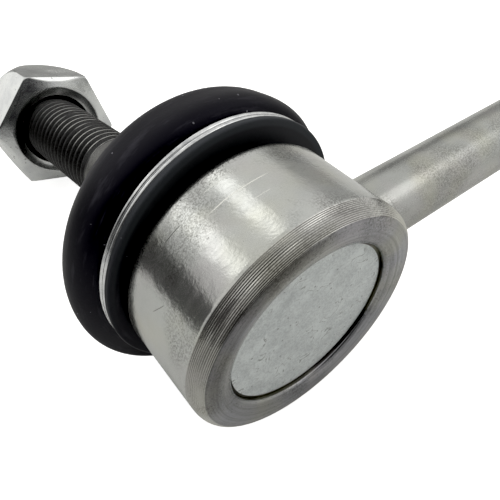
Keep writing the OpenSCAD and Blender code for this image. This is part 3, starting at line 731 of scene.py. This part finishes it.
# Wire rings: turns of round wire laid side by side
clampRing = {"radius": 14.75, "wire": 0.3, "turns": 2, "spacing": 0.56, "at": 6.17}
neckRing = {"radius": 6.7, "wire": 0.45, "turns": 1, "spacing": 0.0, "at": 16.15}
wireRing, given = startTree("wireRing", {"radius": "Float", "wire": "Float", "turns": "Int", "spacing": "Float"})
loop = addNode(wireRing, "GeometryNodeCurvePrimitiveCircle", {"Resolution": 240, "Radius": given["radius"]})
cross = addNode(wireRing, "GeometryNodeCurvePrimitiveCircle", {"Resolution": 16, "Radius": given["wire"]})
coil = addNode(wireRing, "GeometryNodeCurveToMesh", {"Curve": loop, "Profile Curve": cross})
rise = addNode(wireRing, "CombineXYZ", {"Z": given["spacing"]})
stack = addNode(wireRing, "GeometryNodeMeshLine", {"Count": given["turns"], "Offset": rise})
wound = addNode(wireRing, "GeometryNodeInstanceOnPoints", {"Points": stack, "Instance": coil})
endTree(wireRing, wound, given["material"])

for side in "ab":
    mesh = placed(plainMesh(wireRing, clampRing, wire, f"clamp_{side}"), onSkirt, clampRing["at"], side)
    ring = finishMesh(f"clampRing_{side}", mesh, f"boot_{side}", wire, sharp=60)
    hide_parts(f"clamp_ring_{side}")
    mesh = placed(plainMesh(wireRing, neckRing, wire, f"neck_{side}"), onStud, neckRing["at"], side)
    ring = finishMesh(f"neckRing_{side}", mesh, f"boot_neck_{side}", wire, sharp=60)
    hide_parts(f"neck_ring_{side}")
print("rings made")

# Rolled thread: a sheet wrapped round the stud, its radius following the helix
thread = {"radius": 5.0, "pitch": 1.25, "depth": 0.55, "runIn": 2.0, "start": 30.2, "length": 33.2, "around": 96,
          "along": 540, "wornAndLitAt": 275}
helix, given = startTree("rolledThread", {
    "radius": "Float", "pitch": "Float", "depth": "Float", "length": "Float", "around": "Int", "along": "Int"})
leaf = addNode(helix, "GeometryNodeMeshGrid", {
    "Size X": 1.0, "Size Y": 1.0, "Vertices X": given["around"], "Vertices Y": given["along"]})
where = addNode(helix, "SeparateXYZ", {0: addNode(helix, "GeometryNodeInputPosition")}).outputs
turn = addNode(helix, "Math", {0: where["X"], 1: 0.5}, operation="ADD")
rise = addNode(helix, "MapRange", {"Value": where["Y"], "From Min": -0.5, "From Max": 0.5, "To Max": given["length"]})
turns = addNode(helix, "Math", {0: rise, 1: given["pitch"]}, operation="DIVIDE")
lead = addNode(helix, "Math", {0: turns, 1: turn}, operation="SUBTRACT")
wave = addNode(helix, "Math", {0: lead, 1: 0.5}, operation="PINGPONG")  # 0.5 on the crest, 0 in the root
crest = addNode(helix, "Math", {0: wave, 1: 2.0}, operation="MULTIPLY")
flank = addNode(helix, "MapRange", {"Value": wave, "From Min": 0.04, "From Max": 0.47}, **smooth)
runIn = addNode(helix, "MapRange", {"Value": rise, "From Max": thread["runIn"], "To Max": given["depth"]})
root = addNode(helix, "Math", {0: 1.0, 1: flank}, operation="SUBTRACT")
depth = addNode(helix, "Math", {0: root, 1: runIn}, operation="MULTIPLY")
radius = addNode(helix, "Math", {0: given["radius"], 1: depth}, operation="SUBTRACT")
angle = addNode(helix, "Math", {0: turn, 1: 2 * math.pi}, operation="MULTIPLY")
straight = addNode(helix, "CombineXYZ", {"X": radius, "Z": rise})
spot = addNode(helix, "VectorRotate", {"Vector": straight, "Angle": angle}, rotation_type="Z_AXIS")
# painted highlight: the worn crest lines show only on the side facing the light
fromWornAndLit = addNode(helix, "Math", {0: angle, 1: math.radians(thread["wornAndLitAt"])}, operation="SUBTRACT")
wornAndLitSide = addNode(helix, "Math", {0: fromWornAndLit}, operation="COSINE")
crestWearAndHighlight = addNode(helix, "MapRange", {"Value": wornAndLitSide, "From Min": 0.62, "From Max": 0.95}, **smooth)
noted = leaf
for note, value in (("crest", crest), ("crestWearAndHighlight", crestWearAndHighlight)):
    noted = addNode(helix, "GeometryNodeStoreNamedAttribute", {"Geometry": noted, "Name": note, "Value": value},
                    data_type="FLOAT", domain="POINT")
wrapped = addNode(helix, "GeometryNodeSetPosition", {"Geometry": noted, "Position": spot})
welded = addNode(helix, "GeometryNodeMergeByDistance", {"Geometry": wrapped, "Distance": 0.001})
endTree(helix, welded, given["material"])

# Ball stud: ball, neck, groove for the boot, collar, shank and lead-in point in one
stud = {"ball": 7.0, "neck": 4.2, "neckEnd": 10.2, "flat": -4.18, "seatAt": 11.8, "grooveAt": 13.2, "grooveEnd": 17.4,
        "groove": 4.4, "collar": 7.0, "collarEnd": 20.4, "edge": 0.3, "fillet": 0.25, "threadEnd": 63.4,
        "threadRoot": 4.4, "pointStart": 64.5, "point": 3.9, "pointEdge": 0.5, "tip": 67.5,
        "steps": 128, "pointSteps": 96}


def studProfile():
    d = stud
    r = thread["radius"]
    flatAngle = math.degrees(math.asin(d["flat"] / d["ball"]))
    neckAngle = math.degrees(math.acos(d["neck"] / d["ball"]))
    out = [(0.0, d["flat"])] + arc(0, 0, d["ball"], d["ball"], flatAngle, neckAngle, 40)
    out += [(d["neck"], d["neckEnd"]), (r, d["seatAt"]), (r, d["grooveAt"]), (d["groove"], d["grooveAt"])]
    out += [(d["groove"], d["grooveEnd"]), (d["collar"] - d["edge"], d["grooveEnd"])]
    out += [(d["collar"], d["grooveEnd"] + d["edge"]), (d["collar"], d["collarEnd"] - d["edge"])]
    out += [(d["collar"] - d["edge"], d["collarEnd"]), (r + d["fillet"], d["collarEnd"])]
    out.append((r, d["collarEnd"] + d["fillet"]))
    return out + [(r, z) for z in np.linspace(d["collarEnd"] + 1, thread["start"] + 0.05, 10)]


def pointProfile():
    d = stud
    return [(d["threadRoot"], d["threadEnd"] - 0.5), (thread["radius"] - 0.1, d["threadEnd"]),
            (d["point"] + 0.05, d["pointStart"] - 0.05), (d["point"], d["pointStart"] + 0.05),
            (d["point"], d["tip"] - d["pointEdge"]), (d["point"] - d["pointEdge"], d["tip"]), (0.0, d["tip"])]


for side in "ab":
    mesh = turnedMesh(f"ball_{side}", studProfile(), stud["steps"], side, onStud, closedLoop=False)
    shank = finishMesh(f"ballStud_{side}", mesh, f"stud_{side}", darkSteel)
    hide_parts(f"ball_stud_{side}")
    mesh = turnedMesh(f"point_{side}", pointProfile(), stud["pointSteps"], side, onStud, closedLoop=False)
    finishMesh(f"studPoint_{side}", mesh, f"stud_{side}", darkSteel)
    mesh = placed(plainMesh(helix, thread, darkThread, f"thread_{side}"), onStud, thread["start"], side)
    finishMesh(f"studThread_{side}", mesh, f"stud_{side}", darkThread, sharp=80)
print("studs made")

# Lock nut: forged hexagon with rounded edges, its far side drawn in to a domed collar over the nylon ring
nut = {
    "flats": 17.0, "height": 12.4, "cornerHeight": 1.8, "domeHeight": 8.5, "collar": 8.1, "collarRound": 0.9,
    "bevelWidth": 0.95, "bevelHeight": 0.5, "at": 50.0, "turn": 17.0, "edgeRound": 0.06, "faceSlope": 0.2, "steps": 360,
    "sink": 7.0, "sinkDepth": 0.5, "relief": 5.65, "reliefTop": 2.2, "reliefFoot": 0.62, "bore": 5.05, "boreFoot": 2.8,
    "pocket": 6.75, "pocketDepth": 3.05, "roof": 0.55, "mouth": 5.5, "mouthEdge": 0.1, "topFlat": 6.4, "domeTop": 10.4,
    "chamferIn": 1.0, "chamferOut": 1.1, "chamferHeight": 0.75, "domeOut": 0.1, "domeEdge": 0.03, "faceHeight": 1.0,
    "rows": ((0, 0.8, 17), (0.86, 2.6, 24), (2.7, 11.4, 72))}


def nutForm(angle, z):  # radius at the corners, slant of the flats, and radius of the dome
    n = nut
    cornerR = n["flats"] / 2 / math.cos(math.radians(30))
    slant = np.cos(np.radians((np.degrees(angle) - n["turn"]) % 60 - 30))
    domeC = n["collar"] - n["collarRound"]
    up = np.clip((z - n["cornerHeight"]) / n["domeHeight"], 0, 0.9999)
    return cornerR, slant, domeC + (cornerR + n["domeOut"] - domeC) * np.sqrt(1 - up * up)


def nutOuter(angle, z):
    n = nut
    cornerR, slant, dome = nutForm(angle, z)
    flat = (n["flats"] / 2 - n["bevelWidth"] * np.clip(1 - z / n["bevelHeight"], 0, 1)) / slant
    chamfer = cornerR - n["chamferIn"] + n["chamferOut"] * z / n["chamferHeight"]
    r = softMin(softMin(flat, dome, n["edgeRound"]), chamfer, n["edgeRound"])
    bend = n["collarRound"]
    past = z - n["height"] + bend
    if past > 0:
        return np.minimum(r, n["collar"] - bend + math.sqrt(max(0, bend ** 2 - past ** 2)))
    return np.minimum(r, max(dome, n["collar"]))


def domeShadeShare(angle, r, z):  # 1 on the dome, 0 on the flats
    if np.ptp(r) < 1e-6:
        return np.full(nut["steps"], float(np.max(z) > nut["domeTop"]))
    slant, dome = nutForm(angle, np.max(z))[1:]
    return np.clip((nut["flats"] / 2 / slant - dome) / nut["domeEdge"], 0, 1)


def nutMesh(side):
    n = nut
    angles = np.radians(facings(n["steps"]))
    top, pocketFloor, roof = n["height"], n["height"] - n["pocketDepth"], n["height"] - n["roof"]
    rows = [(n["pocket"], roof), (n["pocket"], pocketFloor), (n["bore"], pocketFloor), (n["bore"], n["boreFoot"]),
            (n["relief"], n["reliefTop"]), (n["relief"], n["reliefFoot"]), (n["relief"] + 0.06, n["sinkDepth"])]
    rows += [(n["relief"] + (n["sink"] - n["relief"]) * t, n["sinkDepth"] * (1 - t ** 1.6))
             for t in np.linspace(0.15, 1, 8)]
    face = nutOuter(angles, 0.0) - n["sink"]
    rows += [(n["sink"] + face * t, n["faceSlope"] * face * t) for t in (0.25, 0.5, 0.75, 0.92)]
    bend = top + n["collarRound"] * (np.sin(np.radians(np.linspace(6, 90, 10))) - 1)
    for z in np.concatenate([np.linspace(*span) for span in n["rows"]] + [bend]):
        outer = nutOuter(angles, z)
        rows.append((outer, np.maximum(z, n["faceSlope"] * (outer - n["sink"]) * (z < n["faceHeight"]))))
    rows += [(n["topFlat"], top), (n["mouth"] + n["mouthEdge"], top), (n["mouth"], top - n["mouthEdge"])]
    rows.append((n["mouth"], roof))
    grid = np.empty((n["steps"], len(rows), 3))
    for j, (r, z) in enumerate(rows):
        grid[:, j, 0] = r * np.cos(angles)
        grid[:, j, 1] = r * np.sin(angles)
        grid[:, j, 2] = z + n["at"]
    flat = toRow(onStud(grid.reshape(-1, 3)), side)
    mesh = sweep(f"nut_{side}", flat.reshape(grid.shape), True)
    noteOn(mesh, "dome", np.column_stack([domeShadeShare(angles, r, z) for r, z in rows]))
    return mesh


for side in "ab":
    hexNut = finishMesh(f"lockNut_{side}", nutMesh(side), f"lock_nut_{side}", zincNut, sharp=50)
    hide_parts(f"nut_{side}")
print("nuts made")

# Hidden pieces keep their solids, with the real material
for side in "ab":
    for node, material in ((f"ball_seat_{side}", acetal), (f"nut_insert_{side}", nylon)):
        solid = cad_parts[node]
        solid.data.materials.clear()
        solid.data.materials.append(material)
